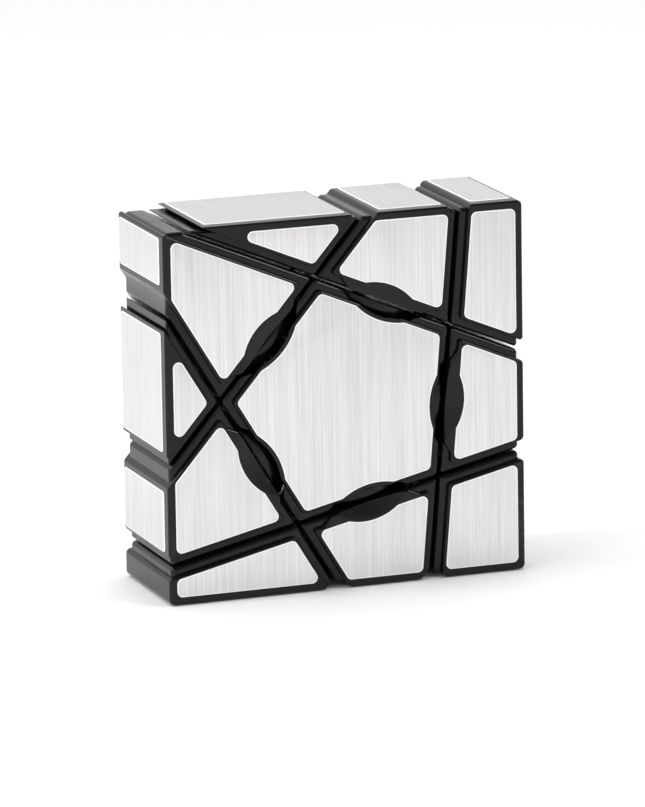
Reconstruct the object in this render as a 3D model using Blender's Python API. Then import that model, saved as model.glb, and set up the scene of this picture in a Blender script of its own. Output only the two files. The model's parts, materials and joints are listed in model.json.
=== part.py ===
"""A one-layer square puzzle with five turning sides, standing on one narrow side.

Five straight cuts, each square to the front face, run round a regular pentagon. They leave a fixed centre,
five edge pieces that turn about their own screws, and five corner pieces that go with the edges beside them.
Lengths are in millimetres until a mesh is made, +X is right, +Y is away from the front and +Z is up.
"""

import math

import bmesh
import bpy
from mathutils import Matrix, Vector

MM = 0.001

# Driving dimensions
WIDTH = 57.0  # the square face, stickers included
THICKNESS = 21.0  # front sticker to back sticker
CUT_DISTANCE = 15.93  # from the centre to each cut
FIRST_AXIS_ANGLE = 67.0  # direction of the top edge's axis in the face, from +X
SIDES = 5

# Clearances and walls
GAP = 0.3  # between pieces that touch
SEAM_GAP = 0.4  # between pieces across a cut
STICKER_THICKNESS = 0.15
WALL = 1.5

# The stepped rim that each piece has beside a cut
STEP_DEPTH = 0.8
PAD_INSET = 1.4
PAD_CORNER_RADIUS = 0.7
PAD_FILLET = 0.4
LEDGE_CORNER_RADIUS = 0.5
LEDGE_FILLET = 0.35

# Stickers
STICKER_SEAM_MARGIN = 1.855
STICKER_BOX_MARGIN = 1.32
STICKER_CORNER_RADIUS = 0.85
EDGE_ARC_RADIUS = 8.8
EDGE_ARC_CENTRE = 9.95
CENTRE_ARC_RADIUS = 10.3
CENTRE_ARC_CENTRE = 23.5

# The dip in each edge piece, a shallow bowl turned about a line square to the face
DIP_CENTRE = EDGE_ARC_CENTRE
DIP_RADIUS = 8.55
DIP_HALF_LENGTH = 6.4
TAB_SETBACK = 0.05  # how far the dip's tab stays behind the rim's wall
DIP_PROFILE = ((3.0, 1.6), (6.2, 0.8), (7.4, 0.42), (DIP_RADIUS, 0.0), (9.6, -0.5))

# The channel that each axis needs for the corners' feet, as radius and height on the axis
CHANNEL_PROFILE = (
    (12.35, CUT_DISTANCE + SEAM_GAP / 2),
    (12.35, CUT_DISTANCE),
    (10.95, 13.9),
    (10.0, 13.0),
    (9.75, 11.4),
    (9.1, 9.8),
    (7.4, 9.2),
)

# The corners' feet: half widths at distances from the centre, along the line to the pentagon's vertex
FOOT_OUTLINE = ((12.9, 0.5), (13.4, 1.0), (14.2, 1.0), (15.0, 0.35), (21.0, 0.35))
FOOT_HALF_HEIGHT = 1.6

# The core and the screws
HUB_RADIUS = 7.0
HUB_HALF_HEIGHT = 5.0
BOSS_RADIUS = 2.6
BOSS_START = 5.2
BOSS_END = CUT_DISTANCE - GAP
FLANGE_START = 13.4
FLANGE_START_RADIUS = 8.3
FLANGE_RADIUS = 9.2
FLANGE_TAPER = 1.0
CENTRE_BORE_RADIUS = 1.9
CENTRE_PEG_RADIUS = 1.6
CENTRE_POST_RADIUS = 3.4
SCREW_RADIUS = 1.0
SCREW_HOLE_RADIUS = SCREW_RADIUS + GAP
SCREW_TIP = 8.5
SCREW_HOLE_END = 8.0
SCREW_HEAD_RADIUS = 2.4
SCREW_HEAD_HEIGHT = 1.5
SLOT_WIDTH = 0.6
SLOT_DEPTH = 0.7
SPRING_WIRE = 0.5
SPRING_RADIUS = 2.0
SPRING_TURNS = 3
SPRING_LENGTH = 3.2
WASHER_RADIUS = 2.5
WASHER_THICKNESS = 0.4

# The pegs that join the front and back shells
PEG_RADIUS = 1.0
SOCKET_WALL = 0.9
PEG_REACH = 3.0
EDGE_PEG_HEIGHT = CUT_DISTANCE + 5.0
EDGE_PEG_OFFSET = 5.2

# Steps round each kind of curve, and how corners and cutters are made
ARC_STEPS = 3
BITE_STEPS = 6
CIRCLE_STEPS = 10
ROUND_STEPS = 12
WASHER_STEPS = 16
POST_STEPS = 16
HUB_STEPS = 20
CHANNEL_STEPS = 29  # odd, so that no corner of one channel falls on a corner of the next
DIP_STEPS = 32
MOST_SETBACK = 0.45  # the share of a side that one rounded corner may take
FLATTEST_CORNER = math.radians(160)  # a flatter one is left as it is
SHARP_ANGLE = math.radians(35)
OVERSHOOT = 1.0  # how far a cutter goes past what it cuts

# Worked out from the dimensions above
HALF = WIDTH / 2
FACE_DEPTH = THICKNESS / 2 - STICKER_THICKNESS - GAP
LEDGE_DEPTH = FACE_DEPTH - STEP_DEPTH
SPLIT = GAP / 2
BASE_TOP = CUT_DISTANCE + SEAM_GAP / 2 + WALL
SPRING_START = BASE_TOP + GAP
WASHER_START = SPRING_START + SPRING_LENGTH + GAP
HEAD_START = WASHER_START + WASHER_THICKNESS + GAP

PLACES = ("top", "right", "bottom", "left", "upper_left")
CORNER_PLACES = ("upper_right", "lower_right", "lower_left", "left", "top")
FACES = {"front": -1, "back": 1}
MIDDLE = Vector((0, 0))


def clear_scene():
    for thing in list(bpy.context.scene.objects):
        bpy.data.objects.remove(thing)


# --- points in the face, as (across, up) from the centre ---


def axis_angle(side):
    return math.radians(FIRST_AXIS_ANGLE - side * 360 / SIDES)


def axis_direction(side):
    return Vector((math.cos(axis_angle(side)), math.sin(axis_angle(side))))


def on_axis(side, along, across=0.0):
    """The point at a height along a side's axis and a distance across it."""
    direction = axis_direction(side)
    return direction * along + Vector((-direction.y, direction.x)) * across


def clip(outline, direction, limit):
    """The part of a convex outline whose points are at most limit along direction."""
    kept = []
    for start, end in zip(outline, outline[1:] + outline[:1]):
        before = start.dot(direction) - limit
        after = end.dot(direction) - limit
        if before <= 0:
            kept.append(start)
        if before * after < 0:
            kept.append(start.lerp(end, before / (before - after)))
    return kept


def piece_outline(beyond, within, seam_inset, box_inset):
    """A piece's convex outline: beyond the cuts of some sides and within those of others."""
    reach = HALF - box_inset
    outline = [Vector(p) for p in ((-reach, -reach), (reach, -reach), (reach, reach), (-reach, reach))]
    for side in beyond:
        outline = clip(outline, -axis_direction(side), -CUT_DISTANCE - seam_inset)
    for side in within:
        outline = clip(outline, axis_direction(side), CUT_DISTANCE - seam_inset)
    return outline


def rounded(outline, radius, steps=ARC_STEPS):
    """The outline with each sharp corner turned into an arc."""
    result = []
    count = len(outline)
    for i, corner in enumerate(outline):
        before = (outline[i - 1] - corner).normalized()
        after = (outline[(i + 1) % count] - corner).normalized()
        half_angle = before.angle(after) / 2
        setback = radius / math.tan(half_angle)
        shortest = min((outline[i - 1] - corner).length, (outline[(i + 1) % count] - corner).length)
        if setback > MOST_SETBACK * shortest or half_angle > FLATTEST_CORNER / 2:
            result.append(corner)
            continue
        middle = corner + (before + after).normalized() * radius / math.sin(half_angle)
        start = corner + before * setback - middle
        end = corner + after * setback - middle
        for step in range(steps + 1):
            result.append(middle + start.slerp(end, step / steps).normalized() * radius)
    return result


def bitten(outline, side, arc_centre, arc_radius, steps=BITE_STEPS):
    """The outline with the part inside a circle on a side's axis taken out of its nearest edge."""
    centre = on_axis(side, arc_centre)
    result = []
    for start, end in zip(outline, outline[1:] + outline[:1]):
        result.append(start)
        run = end - start
        foot = start + run * (centre - start).dot(run) / run.length_squared
        distance = (foot - centre).length
        if distance >= arc_radius or not 0 < (foot - start).dot(run) < run.length_squared:
            continue
        half = math.sqrt(arc_radius**2 - distance**2)
        first = foot - run.normalized() * half - centre
        last = foot + run.normalized() * half - centre
        for step in range(steps + 1):
            result.append(centre + first.slerp(last, step / steps).normalized() * arc_radius)
    return result


def tabbed(outline, side):
    """The outline with a tab on its edge nearest the centre, as wide as the dip and reaching to the cut."""
    near = CUT_DISTANCE + PAD_INSET
    tip = CUT_DISTANCE + SEAM_GAP / 2 + TAB_SETBACK
    result = []
    for start, end in zip(outline, outline[1:] + outline[:1]):
        result.append(start)
        if max(start.dot(axis_direction(side)), end.dot(axis_direction(side))) > near + GAP:
            continue
        turn = 1 if (end - start).dot(on_axis(side, 0, 1)) > 0 else -1
        for along, across in ((near, -1), (tip, -1), (tip, 1), (near, 1)):
            result.append(on_axis(side, along, across * turn * DIP_HALF_LENGTH))
    return result


# --- meshes ---


def to_space(point, depth):
    """A point in the face and its distance from the mid-plane, towards the back, as metres in space."""
    return Vector((point.x, depth, point.y + HALF)) * MM


def finish_mesh(bm, name):
    bmesh.ops.recalc_face_normals(bm, faces=bm.faces[:])
    mesh = bpy.data.meshes.new(name)
    bm.to_mesh(mesh)
    bm.free()
    return mesh


def prism(name, outline, near, far, fillet=0.0, segments=2):
    """An outline extruded from depth near to depth far, with a fillet round the far face."""
    bm = bmesh.new()
    start = [bm.verts.new(to_space(p, near)) for p in outline]
    end = [bm.verts.new(to_space(p, far)) for p in outline]
    bm.faces.new(start)
    far_face = bm.faces.new(list(reversed(end)))
    for i in range(len(outline)):
        j = (i + 1) % len(outline)
        bm.faces.new((start[j], start[i], end[i], end[j]))
    if fillet:
        bmesh.ops.recalc_face_normals(bm, faces=bm.faces[:])
        bmesh.ops.bevel(
            bm,
            geom=list(far_face.edges),
            offset=fillet * MM,
            segments=segments,
            profile=0.5,
            affect="EDGES",
            clamp_overlap=True,
        )
    return finish_mesh(bm, name)


def lathe(name, profile, steps=ROUND_STEPS):
    """A closed profile of (radius, height) turned about local Z; a radius of 0 is a pole."""
    bm = bmesh.new()
    rings = []
    for radius, height in profile:
        if radius == 0:
            rings.append([bm.verts.new((0, 0, height * MM))])
            continue
        ring = []
        for step in range(steps):
            turn = 2 * math.pi * step / steps
            point = Vector((radius * math.cos(turn), radius * math.sin(turn), height))
            ring.append(bm.verts.new(point * MM))
        rings.append(ring)
    closed = profile[0][0] > 0
    pairs = list(zip(rings, rings[1:] + rings[:1]))
    for low, high in pairs if closed else pairs[:-1]:
        for i in range(steps):
            j = (i + 1) % steps
            corners = [low[i % len(low)], low[j % len(low)], high[j % len(high)], high[i % len(high)]]
            bm.faces.new(list(dict.fromkeys(corners)))
    return finish_mesh(bm, name)


def coil(name, radius, wire, turns, length, steps_per_turn=9, wire_sides=4):
    """A round wire wound about local Z, with flat ends."""
    bm = bmesh.new()
    rings = []
    total = turns * steps_per_turn
    for step in range(total + 1):
        turn = 2 * math.pi * step / steps_per_turn
        height = wire / 2 + (length - wire) * step / total
        outward = Vector((math.cos(turn), math.sin(turn), 0))
        centre = outward * radius + Vector((0, 0, height))
        ring = []
        for k in range(wire_sides):
            around = 2 * math.pi * k / wire_sides
            offset = outward * math.cos(around) + Vector((0, 0, math.sin(around)))
            ring.append(bm.verts.new((centre + offset * wire / 2) * MM))
        rings.append(ring)
    for low, high in zip(rings, rings[1:]):
        for i in range(wire_sides):
            j = (i + 1) % wire_sides
            bm.faces.new((low[i], low[j], high[j], high[i]))
    bm.faces.new(rings[0])
    bm.faces.new(rings[-1])
    return finish_mesh(bm, name)


# --- objects ---


def place(name, mesh, material, origin=(0.0, 0.0, HALF)):
    """An object with its origin at a point in millimetres, made from a mesh in world coordinates."""
    thing = bpy.data.objects.new(name, mesh)
    bpy.context.scene.collection.objects.link(thing)
    mesh.transform(Matrix.Translation(-Vector(origin) * MM))
    thing.location = Vector(origin) * MM
    mesh.materials.append(material)
    mesh.shade_smooth()
    mesh.set_sharp_from_angle(angle=SHARP_ANGLE)
    return thing


def helper(name, mesh):
    thing = bpy.data.objects.new(name, mesh)
    bpy.context.scene.collection.objects.link(thing)
    thing.hide_render = True
    thing.display_type = "WIRE"
    return thing


def along_axis(thing, side, height=0.0):
    """Stands an object's local Z on a side's axis, at a height."""
    point = on_axis(side, height)
    thing.location = to_space(point, 0)
    thing.rotation_euler = (0, math.pi / 2 - axis_angle(side), 0)
    return thing


def combine(target, other, operation):
    modifier = target.modifiers.new(operation.lower() + "_" + other.name, "BOOLEAN")
    modifier.operation = operation
    modifier.object = other
    modifier.solver = "EXACT"


def add(target, other):
    combine(target, other, "UNION")


def cut(target, other):
    combine(target, other, "DIFFERENCE")


def material(name, colour, roughness, metallic=0.0):
    made = bpy.data.materials.new(name)
    made.use_nodes = True
    shader = made.node_tree.nodes["Principled BSDF"]
    shader.inputs["Base Color"].default_value = (*colour, 1)
    shader.inputs["Roughness"].default_value = roughness
    shader.inputs["Metallic"].default_value = metallic
    return made


def black_plastic():
    return material("black_plastic", (0.012, 0.012, 0.013), 0.18)


def grey_plastic():
    return material("grey_plastic", (0.09, 0.09, 0.095), 0.4)


def silver_foil():
    return material("silver_foil", (0.78, 0.77, 0.76), 0.35, 0.6)


def bright_steel():
    return material("bright_steel", (0.6, 0.6, 0.6), 0.25, 1.0)


# --- shells ---


def shell(name, beyond, within, direction, plastic):
    """One half of a piece: a pad with a lower rim beside the cuts, hollow and open at the mid-plane."""
    pad_outline = piece_outline(beyond, within, PAD_INSET, 0)
    if len(beyond) == 1:
        pad_outline = tabbed(pad_outline, beyond[0])
    pad_outline = rounded(pad_outline, PAD_CORNER_RADIUS)
    pad = prism(name, pad_outline, direction * SPLIT, direction * FACE_DEPTH, PAD_FILLET)
    thing = place(name, pad, plastic)
    rim_outline = rounded(piece_outline(beyond, within, SEAM_GAP / 2, STEP_DEPTH), LEDGE_CORNER_RADIUS)
    rim = prism(name + "_rim", rim_outline, direction * SPLIT, direction * LEDGE_DEPTH, LEDGE_FILLET, 1)
    add(thing, helper(name + "_rim", rim))
    hollow_outline = piece_outline(beyond, within, SEAM_GAP / 2 + WALL, STEP_DEPTH + WALL)
    hollow = prism(name + "_hollow", hollow_outline, -direction * OVERSHOOT, direction * (FACE_DEPTH - WALL))
    cut(thing, helper(name + "_hollow", hollow))
    return thing


def peg_or_socket(thing, end, point, direction):
    """A peg on the front shell, or on the back shell the socket that it goes into."""
    label = f"{thing.name}_{end}"
    floor = FACE_DEPTH - WALL / 2
    if direction < 0:
        peg = prism(label + "_peg", circle(point, PEG_RADIUS), -floor, PEG_REACH)
        add(thing, helper(label + "_peg", peg))
        return
    tube = prism(label + "_socket", circle(point, PEG_RADIUS + GAP + SOCKET_WALL), SPLIT, floor)
    add(thing, helper(label + "_socket", tube))
    bore = prism(label + "_bore", circle(point, PEG_RADIUS + GAP), -OVERSHOOT, PEG_REACH + GAP)
    cut(thing, helper(label + "_bore", bore))


def circle(centre, radius, steps=CIRCLE_STEPS):
    turns = [2 * math.pi * step / steps for step in range(steps)]
    return [centre + Vector((math.cos(turn), math.sin(turn))) * radius for turn in turns]


def rectangle(side, low, high, half_width):
    """A box in the face, along a side's axis from low to high."""
    corners = ((low, -half_width), (high, -half_width), (high, half_width), (low, half_width))
    return [on_axis(side, along, across) for along, across in corners]


def channel_cutters():
    """One turned cutter for each axis, with the shape that the corners' feet sweep."""
    cutters = []
    for side, place_name in enumerate(PLACES):
        mesh = lathe("channel_" + place_name, solid_profile(CHANNEL_PROFILE), CHANNEL_STEPS)
        cutters.append(along_axis(helper("channel_" + place_name, mesh), side))
    return cutters


def centre_covers(channels, plastic):
    """The pentagon that stays still, as a front and a back cover on the core."""
    for face, direction in FACES.items():
        cover = shell("center_cover_" + face, (), range(SIDES), direction, plastic)
        for channel in channels:
            cut(cover, channel)
        floor = direction * (FACE_DEPTH - WALL / 2)
        post_start = direction * (HUB_HALF_HEIGHT + GAP)
        post = prism(cover.name + "_post", circle(MIDDLE, CENTRE_POST_RADIUS, POST_STEPS), post_start, floor)
        add(cover, helper(cover.name + "_post", post))
        peg = prism(cover.name + "_peg", circle(MIDDLE, CENTRE_PEG_RADIUS), direction * 2 * GAP, floor)
        add(cover, helper(cover.name + "_peg", peg))


def edge_shells(side, channels, plastic):
    """The front and back of an edge piece, with the wall that its screw and spring pull on."""
    start = CUT_DISTANCE + SEAM_GAP / 2
    neighbours = ((side - 1) % SIDES, (side + 1) % SIDES)
    for face, direction in FACES.items():
        name = f"edge_{PLACES[side]}_{face}_shell"
        thing = shell(name, (side,), neighbours, direction, plastic)
        bowl = helper(name + "_dip", lathe(name + "_dip", solid_profile(DIP_PROFILE), DIP_STEPS))
        bowl.location = to_space(on_axis(side, DIP_CENTRE), direction * FACE_DEPTH)
        bowl.rotation_euler = (direction * math.pi / 2, 0, 0)
        cut(thing, bowl)
        wall = ((SCREW_HOLE_RADIUS, start - OVERSHOOT), (SCREW_HOLE_RADIUS, BASE_TOP + OVERSHOOT))
        hole = helper(name + "_hole", lathe(name + "_hole", solid_profile(wall)))
        cut(thing, along_axis(hole, side))
        for neighbour in neighbours:
            cut(thing, channels[neighbour])
        for end, across in (("low", -EDGE_PEG_OFFSET), ("high", EDGE_PEG_OFFSET)):
            peg_or_socket(thing, end, on_axis(side, EDGE_PEG_HEIGHT, across), direction)


def solid_profile(wall):
    """A lathe profile with a pole at each end, from the radii and heights of the wall between them."""
    return [(0, wall[0][1]), *wall, (0, wall[-1][1])]


def corner_shells(side, plastic):
    """The front and back of the corner piece between a side and the next, each with half of the foot."""
    following = (side + 1) % SIDES
    within = [other for other in range(SIDES) if other not in (side, following)]
    for face, direction in FACES.items():
        name = f"corner_{CORNER_PLACES[side]}_{face}_shell"
        thing = shell(name, (side, following), within, direction, plastic)
        outline = foot_outline(side)
        foot = prism(name + "_foot", outline, direction * SPLIT, direction * FOOT_HALF_HEIGHT)
        add(thing, helper(name + "_foot", foot))
        hollow = piece_outline((side, following), within, SEAM_GAP / 2 + WALL, STEP_DEPTH + WALL)
        middle = sum(hollow, Vector((0, 0))) / len(hollow)
        peg_or_socket(thing, "middle", middle, direction)


def foot_outline(side):
    """The outline of a corner's foot, on the line that halves the angle between two axes."""
    toward = (axis_direction(side) + axis_direction((side + 1) % SIDES)).normalized()
    across = Vector((-toward.y, toward.x))
    near = [toward * distance + across * half for distance, half in FOOT_OUTLINE]
    far = [toward * distance - across * half for distance, half in FOOT_OUTLINE]
    return near + list(reversed(far))


# --- stickers ---


def sticker_outline(beyond, within):
    """A piece's sticker: an even margin inside the piece, with a round bite at each dip."""
    margin = (STICKER_SEAM_MARGIN, STICKER_BOX_MARGIN)
    outline = rounded(piece_outline(beyond, within, *margin), STICKER_CORNER_RADIUS)
    if not beyond:
        for side in range(SIDES):
            outline = bitten(outline, side, CENTRE_ARC_CENTRE, CENTRE_ARC_RADIUS)
    elif len(beyond) == 1:
        outline = bitten(outline, beyond[0], EDGE_ARC_CENTRE, EDGE_ARC_RADIUS)
    return outline


def stickers(label, beyond, within, foil):
    for face, direction in FACES.items():
        name = f"sticker_{label}_{face}"
        outline = sticker_outline(beyond, within)
        outer = direction * THICKNESS / 2
        place(name, prism(name, outline, outer - direction * STICKER_THICKNESS, outer), foil)


# --- core, screws and springs ---


def core(plastic):
    """The hub with five bosses for the screws, each with a disc that the corners' feet hook behind."""
    outline = circle(MIDDLE, HUB_RADIUS, HUB_STEPS)
    hub = place("core_hub", prism("core_hub", outline, -HUB_HALF_HEIGHT, HUB_HALF_HEIGHT), plastic)
    profile = [
        (0, BOSS_START),
        (BOSS_RADIUS, BOSS_START),
        (BOSS_RADIUS, FLANGE_START),
        (FLANGE_START_RADIUS, FLANGE_START),
        (FLANGE_RADIUS, FLANGE_START + FLANGE_TAPER),
        (FLANGE_RADIUS, BOSS_END),
        (SCREW_HOLE_RADIUS, BOSS_END),
        (SCREW_HOLE_RADIUS, SCREW_HOLE_END),
        (0, SCREW_HOLE_END),
    ]
    for side, place_name in enumerate(PLACES):
        boss = helper("boss_" + place_name, lathe("boss_" + place_name, profile, HUB_STEPS))
        add(hub, along_axis(boss, side))
    reach = HUB_HALF_HEIGHT + OVERSHOOT
    bore = prism("core_bore", circle(MIDDLE, CENTRE_BORE_RADIUS), -reach, reach)
    cut(hub, helper("core_bore", bore))


def screw(side, steel):
    name = "screw_" + PLACES[side]
    top = HEAD_START + SCREW_HEAD_HEIGHT
    profile = [
        (0, SCREW_TIP),
        (SCREW_RADIUS, SCREW_TIP + SCREW_RADIUS),
        (SCREW_RADIUS, HEAD_START),
        (SCREW_HEAD_RADIUS, HEAD_START),
        (SCREW_HEAD_RADIUS, top - GAP),
        (SCREW_HEAD_RADIUS - GAP, top),
        (0, top),
    ]
    thing = along_axis(place(name, lathe(name, profile), steel, (0, 0, 0)), side)
    across = SCREW_HEAD_RADIUS + OVERSHOOT
    outline = rectangle(side, top - SLOT_DEPTH, top + OVERSHOOT, across)
    slot = prism(name + "_slot", outline, -SLOT_WIDTH / 2, SLOT_WIDTH / 2)
    cut(thing, helper(name + "_slot", slot))


def spring(side, steel):
    name = "spring_" + PLACES[side]
    mesh = coil(name, SPRING_RADIUS, SPRING_WIRE, SPRING_TURNS, SPRING_LENGTH)
    along_axis(place(name, mesh, steel, (0, 0, 0)), side, SPRING_START)


def washer(side, steel):
    name = "washer_" + PLACES[side]
    profile = [
        (SCREW_HOLE_RADIUS, 0),
        (WASHER_RADIUS, 0),
        (WASHER_RADIUS, WASHER_THICKNESS),
        (SCREW_HOLE_RADIUS, WASHER_THICKNESS),
    ]
    along_axis(place(name, lathe(name, profile, WASHER_STEPS), steel, (0, 0, 0)), side, WASHER_START)


def main():
    clear_scene()
    plastic = black_plastic()
    foil = silver_foil()
    steel = bright_steel()
    channels = channel_cutters()
    core(grey_plastic())
    centre_covers(channels, plastic)
    stickers("center", (), range(SIDES), foil)
    for side in range(SIDES):
        following = (side + 1) % SIDES
        neighbours = ((side - 1) % SIDES, following)
        others = [other for other in range(SIDES) if other not in (side, following)]
        edge_shells(side, channels, plastic)
        corner_shells(side, plastic)
        stickers("edge_" + PLACES[side], (side,), neighbours, foil)
        stickers("corner_" + CORNER_PLACES[side], (side, following), others, foil)
        screw(side, steel)
        spring(side, steel)
        washer(side, steel)


main()
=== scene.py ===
"""Looks for the one-layer twisty puzzle: finer shells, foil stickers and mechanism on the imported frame.

Lengths are in millimetres until a mesh is made. A point in the face is (across, up) from the puzzle's centre.
"""

import json
import math

import bmesh
import bpy
from mathutils import Matrix, Vector


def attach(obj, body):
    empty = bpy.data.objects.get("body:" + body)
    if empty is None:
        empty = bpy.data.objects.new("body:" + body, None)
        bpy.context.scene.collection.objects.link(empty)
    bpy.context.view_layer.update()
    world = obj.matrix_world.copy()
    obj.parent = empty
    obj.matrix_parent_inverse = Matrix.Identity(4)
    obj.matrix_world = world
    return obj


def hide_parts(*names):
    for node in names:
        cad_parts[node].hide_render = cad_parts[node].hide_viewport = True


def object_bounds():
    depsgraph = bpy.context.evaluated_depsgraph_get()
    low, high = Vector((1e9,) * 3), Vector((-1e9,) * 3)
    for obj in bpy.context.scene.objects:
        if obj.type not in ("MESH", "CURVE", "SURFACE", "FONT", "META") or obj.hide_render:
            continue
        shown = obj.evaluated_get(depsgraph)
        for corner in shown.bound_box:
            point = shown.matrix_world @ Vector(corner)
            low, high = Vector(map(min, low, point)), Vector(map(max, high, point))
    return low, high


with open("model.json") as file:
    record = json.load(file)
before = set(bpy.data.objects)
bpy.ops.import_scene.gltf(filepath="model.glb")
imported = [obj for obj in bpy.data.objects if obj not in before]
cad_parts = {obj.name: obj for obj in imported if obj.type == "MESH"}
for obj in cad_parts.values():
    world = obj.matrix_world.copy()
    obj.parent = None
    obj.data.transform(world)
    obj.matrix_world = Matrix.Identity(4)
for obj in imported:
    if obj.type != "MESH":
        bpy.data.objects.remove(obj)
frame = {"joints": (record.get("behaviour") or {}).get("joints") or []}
CAD_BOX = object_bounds()

MM = 0.001

# --- sizes ---

HALF = (CAD_BOX[1][0] - CAD_BOX[0][0]) / 2 / MM
HALF_THICKNESS = (CAD_BOX[1][1] - CAD_BOX[0][1]) / 2 / MM
CUT = 15.93  # from the centre to each cut
SIDES = 5
STICKER = 0.15  # a sticker's thickness
FACE = HALF_THICKNESS - STICKER
REACH = HALF - STICKER
STEP = 0.8  # from the pads down to the stepped rims
SIDE_STEP = 0.6  # the same on the narrow sides
SEAM = 0.15  # from a cut to the pieces beside it
SPLIT = 0.008  # from the mid-plane to the front and back shells
WALL = 1.4

PAD_INSET = 1.4
PAD_CORNER = 0.8
PAD_FILLET = 0.38
RIM_CORNER = 0.8
RIM_FILLET = 0.7
MOST_TIP_LOSS = 0.35  # how much of a sharp corner's tip its rounding may take
NOTCH_APEX = 13.9
NOTCH_RADIUS = 11.5
NOTCH_FILLET = 0.2
DIP_CENTRE = 9.95
DIP_HALF_LENGTH = 6.3
DIP_PROFILE = (
    (0.5, 1.3), (3.0, 1.24), (4.5, 1.13), (5.5, 1.0), (6.2, 0.85), (6.8, 0.66), (7.3, 0.46), (7.8, 0.27),
    (8.2, 0.12), (8.5, 0.03), (8.7, 0.0), (9.0, -0.3),
)
CHANNEL_PROFILE = (
    (12.05, CUT + 0.2), (11.9, CUT), (11.15, 14.9), (10.43, 13.9), (9.95, 13.2), (9.6, 12.4), (9.55, 11.4),
    (9.1, 9.8), (7.4, 9.2),
)
FOOT_OUTLINE = ((13.1, 0.4), (13.5, 0.75), (14.2, 0.75), (14.9, 0.2), (20.6, 0.2))
FOOT_HALF_HEIGHT = 0.6

SEAM_MARGIN = 1.855  # from a cut to a face sticker
BOX_MARGIN = 1.32  # from the box to a face sticker
STICKER_CORNER = 0.85
SIDE_STICKER_CORNER = 0.6
EDGE_ARC = (9.95, 8.8)  # centre on the axis, and radius
CENTRE_ARC = (23.5, 10.3)
STICKER_LIP = 0.15  # the bright cut edge round each sticker
SIDE_FRONT_MARGIN = 1.85
SIDE_BACK_MARGIN = 0.85
SIDE_END_MARGIN = 0.85
SHORTEST_SIDE_STICKER = 2  # a narrow side with less room than this has none

HUB_RADIUS = 7.0
HUB_HALF_HEIGHT = 5.0
HUB_FILLET = 0.5
BOSS_PROFILE = (
    (0, 5.2), (2.6, 5.2), (2.6, 13.2), (2.9, 13.4), (8.0, 13.4), (8.2, 13.5), (8.72, 14.3), (8.8, 14.5),
    (8.8, 15.35), (8.72, 15.56), (8.5, 15.63), (1.3, 15.63), (1.3, 8.0), (0, 8.0),
)
SCREW_TIP = 8.5  # along the axis, as the next heights are
SCREW_HEAD_SEAT = 21.33
SCREW_HEAD_HEIGHT = 1.5
WASHER_SEAT = 20.63
SPRING_SEAT = CUT + 2.0

TENT_GLOW = 0.9
TENT_TOP_GLOW = 0.2
TENT_DARK_PART = (0.3, -0.35, 0.9)

PLACES = ("top", "right", "bottom", "left", "upper_left")
CORNER_PLACES = ("upper_right", "lower_right", "lower_left", "left", "top")
FACES = {"front": -1, "back": 1}
MIDDLE = Vector((0, 0))
CENTRE_HEIGHT = frame["joints"][0]["pos_m"][2] / MM


# --- points in the face ---


def axis_direction(side):
    """The direction of a side's axis in the face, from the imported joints."""
    joint = next(j for j in frame["joints"] if j["name"] == "turn_" + PLACES[side])
    return Vector((joint["axis"][0], joint["axis"][2])).normalized()


AXES = [axis_direction(side) for side in range(SIDES)]


def on_axis(side, along, across=0.0):
    return AXES[side] * along + Vector((-AXES[side].y, AXES[side].x)) * across


def clip(outline, direction, limit):
    """The part of a convex outline whose points are at most limit along direction."""
    kept = []
    for start, end in zip(outline, outline[1:] + outline[:1]):
        before = start.dot(direction) - limit
        after = end.dot(direction) - limit
        if before <= 0:
            kept.append(start)
        if before * after < 0:
            kept.append(start.lerp(end, before / (before - after)))
    return kept


def piece_outline(beyond, within, seam_inset, reach):
    """A piece's convex outline, anticlockwise: beyond some sides' cuts and within others'."""
    corners = ((-reach, -reach), (reach, -reach), (reach, reach), (-reach, reach))
    outline = [Vector(p) for p in corners]
    for side in beyond:
        outline = clip(outline, -AXES[side], -CUT - seam_inset)
    for side in within:
        outline = clip(outline, AXES[side], CUT - seam_inset)
    return outline


def arc_points(middle, start, end, radius, steps):
    return [middle + start.slerp(end, step / steps).normalized() * radius for step in range(steps + 1)]


def rounded(outline, radius, steps=8, less=0.0, most_loss=10.0):
    """The outline with each corner, convex or concave, turned into an arc.

    An arc takes at most most_loss of its corner's tip. Where less, an inset already made, has used an
    arc up, its points fall together.
    """
    result = []
    count = len(outline)
    for i, corner in enumerate(outline):
        before = outline[i - 1] - corner
        after = outline[(i + 1) % count] - corner
        half_angle = before.angle(after) / 2
        if half_angle > math.radians(86):
            result.append(corner)
            continue
        here = min(radius, most_loss / (1 / math.sin(half_angle) - 1)) - less
        here = min(here, 0.45 * math.tan(half_angle) * min(before.length, after.length))
        if here <= 0.002:
            result += [corner.copy() for step in range(steps + 1)]
            continue
        setback = here / math.tan(half_angle)
        before.normalize()
        after.normalize()
        middle = corner + (before + after).normalized() * here / math.sin(half_angle)
        start = corner + before * setback - middle
        end = corner + after * setback - middle
        result += arc_points(middle, start, end, here, steps)
    return result


def bitten(outline, side, arc_centre, arc_radius, steps=24):
    """The outline with the part inside a circle on a side's axis taken out of its nearest edge."""
    centre = on_axis(side, arc_centre)
    result = []
    for start, end in zip(outline, outline[1:] + outline[:1]):
        result.append(start)
        run = end - start
        foot = start + run * (centre - start).dot(run) / run.length_squared
        distance = (foot - centre).length
        if distance >= arc_radius or not 0 < (foot - start).dot(run) < run.length_squared:
            continue
        half = math.sqrt(arc_radius**2 - distance**2)
        first = foot - run.normalized() * half - centre
        last = foot + run.normalized() * half - centre
        result += arc_points(centre, first, last, arc_radius, steps)
    return result


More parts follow.
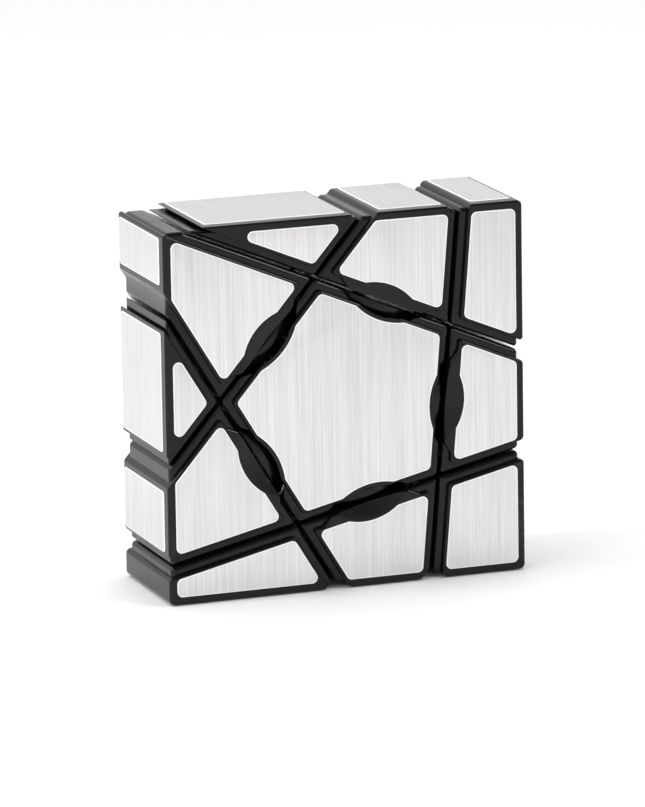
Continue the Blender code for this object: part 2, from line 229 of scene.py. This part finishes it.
def tabbed(outline, side, less):
    """The outline with a tab on its edge nearest the centre, as wide as the dip and reaching to the seam."""
    near = CUT + PAD_INSET + less
    tip = CUT + SEAM + 0.02 + less
    halves = (DIP_HALF_LENGTH + 1.6 - less, DIP_HALF_LENGTH - less)
    result = []
    for start, end in zip(outline, outline[1:] + outline[:1]):
        result.append(start)
        if max(start.dot(AXES[side]), end.dot(AXES[side])) > near + 0.3:
            continue
        turn = 1 if (end - start).dot(on_axis(side, 0, 1)) > 0 else -1
        for along, across in ((near, -halves[0]), (tip, -halves[1]), (tip, halves[1]), (near, halves[0])):
            result.append(on_axis(side, along, across * turn))
    return result


def inset(outline, distances):
    """Each point of an anticlockwise outline moved inwards by its own distance."""
    moved = []
    count = len(outline)
    for i, point in enumerate(outline):
        first = (point - outline[i - 1]).normalized()
        second = (outline[(i + 1) % count] - point).normalized()
        normal = Vector((-first.y - second.y, first.x + second.x)) / max(0.3, 1 + first.dot(second))
        moved.append(point + normal * distances[i])
    return moved


def circle(centre, radius, steps=32):
    turns = [2 * math.pi * step / steps for step in range(steps)]
    return [centre + Vector((math.cos(turn), math.sin(turn))) * radius for turn in turns]


# --- meshes ---


def to_space(point, depth):
    return Vector((point.x, depth, point.y + CENTRE_HEIGHT)) * MM


def mesh_from(bm, name):
    bmesh.ops.remove_doubles(bm, verts=bm.verts[:], dist=1e-7)
    bmesh.ops.recalc_face_normals(bm, faces=bm.faces[:])
    mesh = bpy.data.meshes.new(name)
    bm.to_mesh(mesh)
    bm.free()
    return mesh


def stack(name, rings):
    """A closed mesh through rings of points in space, capped at both ends."""
    bm = bmesh.new()
    made = [[bm.verts.new(point) for point in ring] for ring in rings]
    for low, high in zip(made, made[1:]):
        for i in range(len(low)):
            j = (i + 1) % len(low)
            bm.faces.new((low[i], low[j], high[j], high[i]))
    bm.faces.new(made[0])
    bm.faces.new(made[-1])
    return mesh_from(bm, name)


def filleted(name, outline, near, far, fillet, steps=6):
    """A form extruded from depth near to depth far, with a round fillet at the far face.

    outline is a list of points, or a function that gives them at an inset. fillet is one radius, or one
    for each point.
    """
    direction = 1 if far > near else -1
    points = outline(0) if callable(outline) else outline
    radii = fillet if isinstance(fillet, list) else [fillet] * len(points)
    rings = [[to_space(p, near) for p in points]]
    for step in range(steps + 1):
        turn = math.pi / 2 * step / steps
        if callable(outline):
            moved = outline(fillet * (1 - math.cos(turn)))
        else:
            moved = inset(outline, [r * (1 - math.cos(turn)) for r in radii])
        drops = [r * (1 - math.sin(turn)) for r in radii]
        rings.append([to_space(p, far - direction * drop) for p, drop in zip(moved, drops)])
    return stack(name, rings)


def prism(name, outline, near, far):
    return stack(name, [[to_space(p, near) for p in outline], [to_space(p, far) for p in outline]])


def lathe(name, profile, steps=64):
    """A profile of (radius, height) turned about local Z, closed into a ring unless it ends on poles."""
    bm = bmesh.new()
    rings = []
    for radius, height in profile:
        if radius == 0:
            rings.append([bm.verts.new((0, 0, height * MM))])
            continue
        turns = [2 * math.pi * step / steps for step in range(steps)]
        ring = [Vector((radius * math.cos(turn), radius * math.sin(turn), height)) for turn in turns]
        rings.append([bm.verts.new(point * MM) for point in ring])
    pairs = list(zip(rings, rings[1:] + rings[:1]))
    for low, high in pairs if profile[0][0] > 0 else pairs[:-1]:
        for i in range(steps):
            j = (i + 1) % steps
            corners = [low[i % len(low)], low[j % len(low)], high[j % len(high)], high[i % len(high)]]
            bm.faces.new(list(dict.fromkeys(corners)))
    return mesh_from(bm, name)


def solid_profile(wall):
    return [(0, wall[0][1]), *wall, (0, wall[-1][1])]


def coil(name, radius, wire, turns, length, steps_per_turn=40, wire_sides=12):
    """A round wire wound about local Z, closed and ground flat at both ends."""
    bm = bmesh.new()
    rings = []
    total = int((turns + 1.5) * steps_per_turn)
    for step in range(total + 1):
        turn = 2 * math.pi * step / steps_per_turn
        share = min(1.0, max(0.0, (step / steps_per_turn - 0.75) / turns))
        height = wire / 2 + (length - wire) * share
        outward = Vector((math.cos(turn), math.sin(turn), 0))
        ring = []
        for k in range(wire_sides):
            around = 2 * math.pi * k / wire_sides
            offset = outward * math.cos(around) + Vector((0, 0, math.sin(around)))
            ring.append(bm.verts.new((outward * radius + Vector((0, 0, height)) + offset * wire / 2) * MM))
        rings.append(ring)
    for low, high in zip(rings, rings[1:]):
        for i in range(wire_sides):
            j = (i + 1) % wire_sides
            bm.faces.new((low[i], low[j], high[j], high[i]))
    bm.faces.new(rings[0])
    bm.faces.new(rings[-1])
    return mesh_from(bm, name)


# --- objects ---


def link(name, mesh):
    thing = bpy.data.objects.new(name, mesh)
    bpy.context.scene.collection.objects.link(thing)
    return thing


def along_axis(thing, side, height=0.0):
    """Stands an object's local Z on a side's axis, at a height."""
    thing.location = to_space(on_axis(side, height), 0)
    thing.rotation_euler = (0, math.atan2(AXES[side].x, AXES[side].y), 0)
    return thing


def combine(target, mesh_or_object, operation):
    """Joins or cuts at once, and removes the helper if it was made for this."""
    shared = isinstance(mesh_or_object, bpy.types.Object)
    other = mesh_or_object if shared else link("helper", mesh_or_object)
    modifier = target.modifiers.new("boolean", "BOOLEAN")
    modifier.operation = operation
    modifier.object = other
    modifier.solver = "EXACT"
    bpy.context.view_layer.update()
    evaluated = target.evaluated_get(bpy.context.evaluated_depsgraph_get())
    result = bpy.data.meshes.new_from_object(evaluated)
    target.modifiers.remove(modifier)
    old = target.data
    target.data = result
    bpy.data.meshes.remove(old)
    if not shared:
        bpy.data.objects.remove(other)


def add(target, other):
    combine(target, other, "UNION")


def cut(target, other):
    combine(target, other, "DIFFERENCE")


def finished(thing, material, body, nodes, sharp=32):
    """Cleans a piece's mesh, shades it, paints it, ties it to its body and hides the nodes it stands for."""
    bm = bmesh.new()
    bm.from_mesh(thing.data)
    bmesh.ops.dissolve_degenerate(bm, dist=2e-7, edges=bm.edges[:])
    bm.to_mesh(thing.data)
    bm.free()
    thing.data.name = thing.name
    thing.data.shade_smooth()
    thing.data.set_sharp_from_angle(angle=math.radians(sharp))
    if not thing.data.materials:
        thing.data.materials.append(material)
    else:
        thing.data.materials[0] = material
    weighted = thing.modifiers.new("weighted_normals", "WEIGHTED_NORMAL")
    weighted.keep_sharp = True
    weighted.weight = 100
    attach(thing, body)
    if nodes:
        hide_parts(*nodes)
    return thing


# --- materials ---


class Nodes:
    """A material's node tree, with short calls for making and joining nodes."""

    def __init__(self, name):
        self.material = bpy.data.materials.new(name)
        self.material.use_nodes = True
        self.tree = self.material.node_tree
        self.shader = self.tree.nodes["Principled BSDF"]

    def make(self, kind, settings=(), **inputs):
        node = self.tree.nodes.new(kind)
        for key, value in dict(settings).items():
            setattr(node, key, value)
        for key, value in inputs.items():
            self.feed(node, key, value)
        return node

    def feed(self, node, key, value):
        """Sets or joins an input, named with _ for a space, or as i and its number."""
        numbered = key[0] == "i" and key[1:].isdigit()
        socket = node.inputs[int(key[1:]) if numbered else key.replace("_", " ")]
        if isinstance(value, bpy.types.NodeSocket):
            self.tree.links.new(value, socket)
        else:
            socket.default_value = value

    def mapped(self, scale):
        """Object coordinates, scaled on each axis."""
        where = self.make("ShaderNodeTexCoord")
        mapping = self.make("ShaderNodeMapping", Vector=where.outputs["Object"], Scale=scale)
        return mapping.outputs["Vector"]

    def noise(self, scale, size, detail=4.0, roughness=0.55):
        settings = {"Scale": size, "Detail": detail, "Roughness": roughness}
        node = self.make("ShaderNodeTexNoise", Vector=self.mapped(scale), **settings)
        return node.outputs["Fac"]

    def ramp(self, value, low, high, start=0.3, end=0.7):
        """A number from low to high as value goes from start to end."""
        node = self.make("ShaderNodeMapRange", i0=value, i1=start, i2=end, i3=low, i4=high)
        return node.outputs["Result"]

    def mix(self, factor, first, second):
        node = self.make("ShaderNodeMix", {"data_type": "RGBA"}, i0=factor, i6=first, i7=second)
        return node.outputs[2]

    def math(self, operation, first, second=0.0):
        return self.make("ShaderNodeMath", {"operation": operation}, i0=first, i1=second).outputs[0]

    def bump(self, height, strength, distance, normal=None):
        node = self.make("ShaderNodeBump", Height=height, Strength=strength, Distance=distance)
        if normal is not None:
            self.feed(node, "Normal", normal)
        return node.outputs["Normal"]

    def edge_wear(self, spread=0.12):
        """How much an edge is exposed, from 0 on flats to 1 on a worn edge."""
        geometry = self.make("ShaderNodeNewGeometry")
        return self.ramp(geometry.outputs["Pointiness"], 0.0, 1.0, 0.5 + spread / 4, 0.5 + spread)


def black_plastic(name="moulded_black_plastic"):
    """Glossy moulded plastic: faint flow marks, fine handling scratches, dulled where fingers rub it."""
    n = Nodes(name)
    cloud = n.noise((1, 1, 1), 130, 3)
    grain = n.noise((1, 1, 1), 2600, 2)
    across = n.noise((1, 0.05, 0.05), 2600, 3)
    upward = n.noise((0.06, 0.06, 1), 2200, 3)
    scratches = n.math("MAXIMUM", n.ramp(across, 0, 1, 0.66, 0.72), n.ramp(upward, 0, 1, 0.68, 0.74))
    wear = n.math("MULTIPLY", n.edge_wear(), n.ramp(n.noise((1, 1, 1), 420, 4), 0, 1, 0.4, 0.65))
    colour = n.mix(n.ramp(cloud, 0, 1), (0.0030, 0.0034, 0.0032, 1), (0.0052, 0.0056, 0.0054, 1))
    colour = n.mix(n.math("MULTIPLY", wear, 0.5), colour, (0.032, 0.033, 0.034, 1))
    n.feed(n.shader, "Base_Color", colour)
    rough = n.math("ADD", n.ramp(cloud, 0.13, 0.21), n.math("MULTIPLY", scratches, 0.12))
    n.feed(n.shader, "Roughness", n.math("ADD", rough, n.math("MULTIPLY", wear, 0.14)))
    n.shader.inputs["IOR"].default_value = 1.49
    n.shader.inputs["Specular IOR Level"].default_value = 0.27
    ripple = n.bump(cloud, 0.12, 0.00012)
    fine = n.bump(grain, 0.05, 0.00002, ripple)
    n.feed(n.shader, "Normal", n.bump(scratches, 0.12, 0.000006, fine))
    return n.material


def foil(name, long_axis):
    """Brushed silver foil: hair lines along one axis, with tone and roughness that change line by line."""
    n = Nodes(name)
    scale = [1.0, 1.0, 1.0]
    scale[long_axis] = 0.012
    thick = n.noise(tuple(scale), 3300, 3, 0.7)
    fine = n.noise(tuple(scale), 9000, 2, 0.7)
    hue = n.noise(tuple(scale), 2100, 2)
    scale[long_axis] = 0.004
    broad = n.noise(tuple(scale), 620, 2)
    tone = n.math("ADD", n.math("MULTIPLY", thick, 0.5), n.math("MULTIPLY", fine, 0.38))
    tone = n.math("ADD", tone, n.math("MULTIPLY", broad, 0.12))
    dark = n.mix(n.ramp(hue, 0, 1, 0.4, 0.6), (0.645, 0.618, 0.627, 1), (0.617, 0.631, 0.615, 1))
    light = n.mix(n.ramp(hue, 0, 1, 0.4, 0.6), (0.835, 0.810, 0.818, 1), (0.810, 0.823, 0.808, 1))
    n.feed(n.shader, "Base_Color", n.mix(n.ramp(tone, 0, 1, 0.36, 0.64), dark, light))
    n.shader.inputs["Metallic"].default_value = 0.82
    n.feed(n.shader, "Roughness", n.ramp(fine, 0.30, 0.44))
    n.shader.inputs["Anisotropic"].default_value = 0.55
    tangent = n.make("ShaderNodeTangent", {"direction_type": "RADIAL", "axis": "XYZ"[long_axis]})
    n.feed(n.shader, "Tangent", tangent.outputs["Tangent"])
    n.feed(n.shader, "Normal", n.bump(tone, 0.10, 0.00002))
    return n.material


def vinyl():
    """The white cut edge of the sticker, slightly fibrous."""
    n = Nodes("white_sticker_edge")
    fibres = n.noise((1, 1, 1), 3800, 3)
    n.feed(n.shader, "Base_Color", n.mix(n.ramp(fibres, 0, 1), (0.93, 0.93, 0.93, 1), (0.99, 0.99, 0.99, 1)))
    n.feed(n.shader, "Roughness", n.ramp(fibres, 0.38, 0.55))
    n.feed(n.shader, "Normal", n.bump(fibres, 0.15, 0.00001))
    return n.material


def steel(name, colour, low, high):
    """Zinc-plated steel: drawn or turned lines, cloudy plating and a little tarnish."""
    n = Nodes(name)
    lines = n.noise((1, 1, 1), 5200, 4, 0.65)
    cloud = n.noise((1, 1, 1), 700, 3)
    dark = tuple(c * 0.72 for c in colour) + (1,)
    n.feed(n.shader, "Base_Color", n.mix(n.ramp(cloud, 0, 1), dark, colour + (1,)))
    n.shader.inputs["Metallic"].default_value = 1.0
    n.feed(n.shader, "Roughness", n.ramp(lines, low, high))
    n.feed(n.shader, "Normal", n.bump(lines, 0.12, 0.00001))
    return n.material


def floor_paint():
    n = Nodes("pale_studio_floor")
    cloud = n.noise((1, 1, 1), 6, 3)
    n.feed(n.shader, "Base_Color", n.mix(n.ramp(cloud, 0, 1), (0.93, 0.93, 0.93, 1), (0.95, 0.95, 0.95, 1)))
    n.shader.inputs["Roughness"].default_value = 0.7
    n.shader.inputs["Specular IOR Level"].default_value = 0.2
    return n.material


# --- shells ---


def pad_outline(beyond, within, less):
    """The pad's outline, less deep than its full size by an inset."""
    outline = piece_outline(beyond, within, PAD_INSET + less, REACH - less)
    if len(beyond) == 1:
        outline = tabbed(outline, beyond[0], less)
    return rounded(outline, PAD_CORNER, less=less, most_loss=MOST_TIP_LOSS)


def rim_outline(beyond, within, less):
    outline = piece_outline(beyond, within, SEAM + less, REACH - SIDE_STEP - less)
    return rounded(outline, RIM_CORNER, less=less, most_loss=MOST_TIP_LOSS)


def notched_pad(name, direction):
    """The centre's pad, with a notch in each side that has a finer edge than the rest."""
    outline = pad_outline((), range(SIDES), 0)
    for side in range(SIDES):
        outline = bitten(outline, side, NOTCH_APEX + NOTCH_RADIUS, NOTCH_RADIUS)
    outline = rounded_notch_ends(outline)
    radii = [notch_fillet(point) for point in outline]
    return filleted(name, outline, direction * SPLIT, direction * FACE, radii)


def shell(name, beyond, within, direction):
    """One half of a piece: a filleted pad with a lower, rounder rim beside the cuts, hollow inside."""
    face = direction * FACE
    split = direction * SPLIT
    if beyond:
        pad = filleted(name, lambda less: pad_outline(beyond, within, less), split, face, PAD_FILLET)
    else:
        pad = notched_pad(name, direction)
    thing = link(name, pad)
    rim = filleted(
        "rim", lambda less: rim_outline(beyond, within, less), split, direction * (FACE - STEP), RIM_FILLET
    )
    add(thing, rim)
    hollow = piece_outline(beyond, within, SEAM + WALL, REACH - STEP - WALL)
    cut(thing, prism("hollow", rounded(hollow, 1.0, 4), -direction, direction * (FACE - WALL)))
    return thing


def notch_depth(point):
    """How far a point is from the nearest notch's circle."""
    centres = [on_axis(side, NOTCH_APEX + NOTCH_RADIUS) for side in range(SIDES)]
    return min(abs((point - centre).length - NOTCH_RADIUS) for centre in centres)


def notch_fillet(point):
    return NOTCH_FILLET if notch_depth(point) < 0.02 else PAD_FILLET


def rounded_notch_ends(outline):
    """Softens the two corners where each notch meets the pad's straight edge."""
    result = []
    count = len(outline)
    for i, point in enumerate(outline):
        before = outline[i - 1] - point
        after = outline[(i + 1) % count] - point
        if math.degrees(before.angle(after)) > 165 or min(before.length, after.length) < 0.3:
            result.append(point)
            continue
        reach = min(0.25, before.length * 0.4, after.length * 0.4)
        result += [point + before.normalized() * reach, point + after.normalized() * reach]
    return result


def peg_or_socket(thing, point, direction):
    floor = FACE - WALL / 2
    if direction < 0:
        add(thing, prism("peg", circle(point, 1.0, 20), -floor, 3.0))
        return
    add(thing, prism("socket", circle(point, 2.2, 24), SPLIT, floor))
    cut(thing, prism("bore", circle(point, 1.15, 20), -1, 3.3))


def channel_cutters():
    made = []
    for side in range(SIDES):
        made.append(along_axis(link("channel", lathe("channel", solid_profile(CHANNEL_PROFILE), 97)), side))
    return made


def centre_covers(channels, plastic):
    for face, direction in FACES.items():
        cover = shell(f"centre_cover_{face}_finished", (), range(SIDES), direction)
        for channel in channels:
            cut(cover, channel)
        floor = direction * (FACE - WALL / 2)
        add(cover, prism("post", circle(MIDDLE, 3.4, 40), direction * 5.3, floor))
        add(cover, prism("peg", circle(MIDDLE, 1.6, 24), direction * 0.6, floor))
        finished(cover, plastic, "center", [f"center_cover_{face}"])


def edge_shells(side, channels, plastic):
    neighbours = ((side - 1) % SIDES, (side + 1) % SIDES)
    place = PLACES[side]
    for face, direction in FACES.items():
        thing = shell(f"edge_{place}_{face}_shell_finished", (side,), neighbours, direction)
        bowl = link("bowl", lathe("bowl", solid_profile(DIP_PROFILE), 128))
        bowl.location = to_space(on_axis(side, DIP_CENTRE), direction * FACE)
        bowl.rotation_euler = (direction * math.pi / 2, 0, 0)
        cut(thing, bowl)
        bpy.data.objects.remove(bowl)
        hole = link("hole", lathe("hole", solid_profile(((1.3, CUT - 1), (1.3, CUT + SEAM + WALL + 1))), 32))
        cut(thing, along_axis(hole, side))
        bpy.data.objects.remove(hole)
        for neighbour in neighbours:
            cut(thing, channels[neighbour])
        for across in (-5.2, 5.2):
            peg_or_socket(thing, on_axis(side, CUT + 5.0, across), direction)
        finished(thing, plastic, "edge_" + place, [f"edge_{place}_{face}_shell"])


def foot_outline(side):
    toward = (AXES[side] + AXES[(side + 1) % SIDES]).normalized()
    across = Vector((-toward.y, toward.x))
    near = [toward * distance + across * half for distance, half in FOOT_OUTLINE]
    far = [toward * distance - across * half for distance, half in FOOT_OUTLINE]
    return list(reversed(near + list(reversed(far))))


def corner_shells(side, plastic):
    following = (side + 1) % SIDES
    within = [other for other in range(SIDES) if other not in (side, following)]
    place = CORNER_PLACES[side]
    for face, direction in FACES.items():
        thing = shell(f"corner_{place}_{face}_shell_finished", (side, following), within, direction)
        foot = rounded(foot_outline(side), 0.2, 3)
        add(thing, filleted("foot", foot, direction * SPLIT, direction * FOOT_HALF_HEIGHT, 0.15, 3))
        hollow = piece_outline((side, following), within, SEAM + WALL, REACH - STEP - WALL)
        peg_or_socket(thing, sum(hollow, Vector((0, 0))) / len(hollow), direction)
        finished(thing, plastic, "corner_" + place, [f"corner_{place}_{face}_shell"])


# --- stickers ---


def sticker_mesh(name, outline, place_point):
    """A thin sheet with a small rounded lip; place_point turns (outline point, height) into space."""
    count = len(outline)
    rings = [
        [place_point(p, 0.0) for p in outline],
        [place_point(p, STICKER * 0.55) for p in outline],
        [place_point(p, STICKER * 0.87) for p in inset(outline, [STICKER_LIP * 0.3] * count)],
        [place_point(p, STICKER) for p in inset(outline, [STICKER_LIP] * count)],
    ]
    return stack(name, rings)


def finish_sticker(name, mesh, body, nodes, paint, edge_paint, outward):
    """Two paints: foil on the flat top, white on the lip and the cut edge."""
    thing = link(name, mesh)
    mesh.materials.append(paint)
    mesh.materials.append(edge_paint)
    largest = max(mesh.polygons, key=lambda p: p.area * (p.normal.dot(outward) > 0.99))
    for polygon in mesh.polygons:
        polygon.material_index = 0 if polygon.index == largest.index else 1
    mesh.shade_smooth()
    mesh.set_sharp_from_angle(angle=math.radians(25))
    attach(thing, body)
    if nodes:
        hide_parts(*nodes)


def face_stickers(label, body, beyond, within, paint, edge_paint):
    outline = piece_outline(beyond, within, SEAM_MARGIN, HALF - BOX_MARGIN)
    outline = rounded(outline, STICKER_CORNER)
    if not beyond:
        for side in range(SIDES):
            outline = soften(bitten(outline, side, *CENTRE_ARC))
    elif len(beyond) == 1:
        outline = soften(bitten(outline, beyond[0], *EDGE_ARC))
    for face, direction in FACES.items():
        name = f"foil_{label}_{face}"
        mesh = sticker_mesh(name, outline, lambda p, h: to_space(p, direction * (FACE + h)))
        outward = Vector((0, direction, 0))
        finish_sticker(name, mesh, body, [f"sticker_{label}_{face}"], paint, edge_paint, outward)


def soften(outline):
    """Rounds the outline's few sharp corners where an arc meets a straight edge."""
    result = []
    count = len(outline)
    for i, point in enumerate(outline):
        before = outline[i - 1] - point
        after = outline[(i + 1) % count] - point
        bend = 180 - math.degrees(before.angle(after))
        if bend < 14 or bend > 120:
            result.append(point)
            continue
        reach = min(0.45, before.length * 0.45, after.length * 0.45)
        start = point + before.normalized() * reach
        end = point + after.normalized() * reach
        for step in range(5):
            t = step / 4
            result.append(start * (1 - t) ** 2 + point * 2 * t * (1 - t) + end * t**2)
    return result


BOX_SIDES = {
    "left": (Vector((-1, 0)), Vector((0, 1))),
    "right": (Vector((1, 0)), Vector((0, 1))),
    "bottom": (Vector((0, -1)), Vector((1, 0))),
    "top": (Vector((0, 1)), Vector((1, 0))),
}


def side_stickers(label, body, beyond, within, paints, edge_paint):
    """A sticker on each narrow side that the piece reaches, over the joint of its two shells."""
    for box_side, (outward, along) in BOX_SIDES.items():
        low, high = -(HALF - BOX_MARGIN), HALF - BOX_MARGIN
        limits = [(-1, other, -CUT - PAD_INSET) for other in beyond]
        limits += [(1, other, CUT - PAD_INSET) for other in within]
        for sign, other, limit in limits:
            slope = sign * AXES[other].dot(along)
            pad_end = (limit - sign * AXES[other].dot(outward) * REACH) / slope
            margin = max((SEAM_MARGIN - PAD_INSET) / abs(slope), SIDE_END_MARGIN)
            if slope > 0:
                high = min(high, pad_end - margin)
            else:
                low = max(low, pad_end + margin)
        if high - low < SHORTEST_SIDE_STICKER:
            continue
        front = -HALF_THICKNESS + SIDE_FRONT_MARGIN
        back = HALF_THICKNESS - SIDE_BACK_MARGIN
        corners = [Vector(p) for p in ((low, front), (high, front), (high, back), (low, back))]
        outline = rounded(corners, SIDE_STICKER_CORNER)

        def place_point(p, h):
            point = outward * (REACH + h) + along * p.x
            return to_space(point, p.y)

        name = f"side_foil_{label}_{box_side}"
        mesh = sticker_mesh(name, outline, place_point)
        normal = Vector((outward.x, 0, outward.y))
        finish_sticker(name, mesh, body, [], paints[box_side], edge_paint, normal)


# --- core, screws and springs ---


def core(plastic):
    """The hub with five arms, each ending in a disc that the corners' feet hook behind."""
    outline = circle(MIDDLE, HUB_RADIUS, 72)
    hub = link("core_hub_finished", filleted("hub", outline, 0, HUB_HALF_HEIGHT, HUB_FILLET, 5))
    add(hub, filleted("hub_back", outline, 0.01, -HUB_HALF_HEIGHT, HUB_FILLET, 5))
    for side in range(SIDES):
        boss = along_axis(link("boss", lathe("boss", BOSS_PROFILE, 96)), side)
        add(hub, boss)
        bpy.data.objects.remove(boss)
    cut(hub, prism("bore", circle(MIDDLE, 1.9, 32), -6, 6))
    finished(hub, plastic, "center", ["core_hub"])


def screw(side, paint):
    """A pan-head screw with a cross slot; its thread is the fine ridges on its shank."""
    profile = [(0, SCREW_TIP), (0.6, SCREW_TIP + 0.5)]
    height = SCREW_TIP + 1.0
    while height < SCREW_HEAD_SEAT - 0.6:
        profile += [(0.82, height), (1.0, height + 0.17), (0.82, height + 0.34)]
        height += 0.42
    seat = SCREW_HEAD_SEAT
    head = seat + SCREW_HEAD_HEIGHT
    profile += [
        (0.95, seat - 0.15), (1.0, seat), (2.3, seat), (2.4, seat + 0.1), (2.38, seat + 0.55),
        (2.2, head - 0.5), (1.75, head - 0.16), (1.1, head - 0.02), (0, head),
    ]
    name = "screw_" + PLACES[side] + "_finished"
    thing = along_axis(link(name, lathe(name, profile, 48)), side)
    for turn in (0, 1):
        slot = along_axis(link("slot", cross_bar(turn, head)), side)
        cut(thing, slot)
        bpy.data.objects.remove(slot)
    finished(thing, paint, "center", ["screw_" + PLACES[side]], 40)


def cross_bar(turn, head):
    bm = bmesh.new()
    bmesh.ops.create_cube(bm, size=MM)
    size = (2.6, 0.55, 1.6) if turn else (0.55, 2.6, 1.6)
    bmesh.ops.scale(bm, vec=size, verts=bm.verts[:])
    bmesh.ops.translate(bm, vec=Vector((0, 0, head)) * MM, verts=bm.verts[:])
    return mesh_from(bm, "bar")


def spring(side, paint):
    name = "spring_" + PLACES[side] + "_finished"
    thing = link(name, coil(name, 2.0, 0.5, 3, 3.2))
    along_axis(thing, side, SPRING_SEAT)
    finished(thing, paint, "center", ["spring_" + PLACES[side]], 60)


def washer(side, paint):
    name = "washer_" + PLACES[side] + "_finished"
    profile = [
        (1.3, 0.05), (1.35, 0.0), (2.45, 0.0), (2.5, 0.05), (2.5, 0.34), (2.44, 0.4), (1.36, 0.4), (1.3, 0.34),
    ]
    thing = along_axis(link(name, lathe(name, profile, 48)), side, WASHER_SEAT)
    finished(thing, paint, "center", ["washer_" + PLACES[side]], 40)


# --- stage ---


def look(location, target):
    """The world matrix of a thing at location whose -Z points at target."""
    back = (Vector(location) - Vector(target)).normalized()
    up = Vector((0, 1, 0)) if abs(back.z) > 0.99 else Vector((0, 0, 1))
    right = up.cross(back).normalized()
    matrix = Matrix((right, back.cross(right), back)).transposed().to_4x4()
    return Matrix.Translation(Vector(location)) @ matrix


def area_light(name, location, target, size, watts, shape_y=None):
    data = bpy.data.lights.new(name, "AREA")
    data.energy = watts
    data.size = size
    if shape_y:
        data.shape = "RECTANGLE"
        data.size_y = shape_y
    lamp = link(name, data)
    lamp.matrix_world = look(location, target)
    return lamp


def studio_world():
    """A white tent: bright all round, and darker overhead in front."""
    world = bpy.data.worlds.new("studio")
    bpy.context.scene.world = world
    world.use_nodes = True
    tree = world.node_tree
    where = tree.nodes.new("ShaderNodeTexCoord")
    toward = tree.nodes.new("ShaderNodeVectorMath")
    toward.operation = "DOT_PRODUCT"
    toward.inputs[1].default_value = Vector(TENT_DARK_PART).normalized()
    ramp = tree.nodes.new("ShaderNodeMapRange")
    ramp.interpolation_type = "SMOOTHSTEP"
    for socket, value in ((1, 0.45), (2, 0.92), (3, TENT_GLOW), (4, TENT_TOP_GLOW)):
        ramp.inputs[socket].default_value = value
    tree.links.new(where.outputs["Generated"], toward.inputs[0])
    tree.links.new(toward.outputs["Value"], ramp.inputs[0])
    tree.nodes["Background"].inputs["Color"].default_value = (1, 1, 1, 1)
    tree.links.new(ramp.outputs[0], tree.nodes["Background"].inputs["Strength"])


def stage():
    bm = bmesh.new()
    bmesh.ops.create_grid(bm, x_segments=8, y_segments=8, size=2.5)
    floor = link("studio_floor", mesh_from(bm, "studio_floor"))
    floor.location = (0, 0, CAD_BOX[0][2] - 0.00002)
    floor.data.materials.append(floor_paint())
    studio_world()
    middle = (0, 0, CENTRE_HEIGHT * MM)
    overhead = area_light("floor_light", (0, 0.1, 1.6), (0, 0.1, 0), 1.2, 12)
    overhead.visible_glossy = False
    area_light("softbox_left", (-0.55, 0.05, 0.42), middle, 0.12, 1.3, shape_y=0.3)
    area_light("strip_left", (-0.7, -0.35, 0.3), middle, 0.06, 0.7, shape_y=0.4)
    area_light("softbox_right", (0.55, -0.45, 0.55), middle, 0.16, 1.6, shape_y=0.2)


def camera():
    data = bpy.data.cameras.new("camera")
    data.sensor_fit = "HORIZONTAL"
    data.sensor_width = 36
    data.lens = 381.4
    data.clip_end = 20
    view = link("camera", data)
    forward = Vector((0.33208, 0.91667, -0.22238)).normalized()
    right = Vector((0.93888, -0.34389, -0.01550)).normalized()
    up = right.cross(forward).normalized()
    matrix = Matrix((right, up, -forward)).transposed().to_4x4()
    view.matrix_world = Matrix.Translation(Vector((-0.34093, -0.94083, 0.25443))) @ matrix
    bpy.context.scene.camera = view
    bpy.context.scene.view_settings.view_transform = "Standard"


def main():
    camera()
    stage()
    plastic = black_plastic()
    core_plastic = black_plastic("core_black_plastic")
    face_foil = foil("brushed_foil", 2)
    foils = {
        "left": foil("brushed_foil_side", 2),
        "right": foil("brushed_foil_far_side", 2),
        "top": foil("brushed_foil_top", 1),
        "bottom": foil("brushed_foil_bottom", 1),
    }
    white = vinyl()
    channels = channel_cutters()
    core(core_plastic)
    centre_covers(channels, plastic)
    face_stickers("center", "center", (), range(SIDES), face_foil, white)
    screw_steel = steel("plated_screw_steel", (0.62, 0.62, 0.63), 0.2, 0.34)
    spring_steel = steel("drawn_spring_steel", (0.55, 0.54, 0.53), 0.24, 0.4)
    for side in range(SIDES):
        following = (side + 1) % SIDES
        neighbours = ((side - 1) % SIDES, following)
        others = [other for other in range(SIDES) if other not in (side, following)]
        edge, corner = PLACES[side], CORNER_PLACES[side]
        edge_shells(side, channels, plastic)
        corner_shells(side, plastic)
        face_stickers("edge_" + edge, "edge_" + edge, (side,), neighbours, face_foil, white)
        face_stickers("corner_" + corner, "corner_" + corner, (side, following), others, face_foil, white)
        side_stickers("edge_" + edge, "edge_" + edge, (side,), neighbours, foils, white)
        side_stickers("corner_" + corner, "corner_" + corner, (side, following), others, foils, white)
        screw(side, screw_steel)
        spring(side, spring_steel)
        washer(side, screw_steel)
    for channel in channels:
        bpy.data.objects.remove(channel)


main()
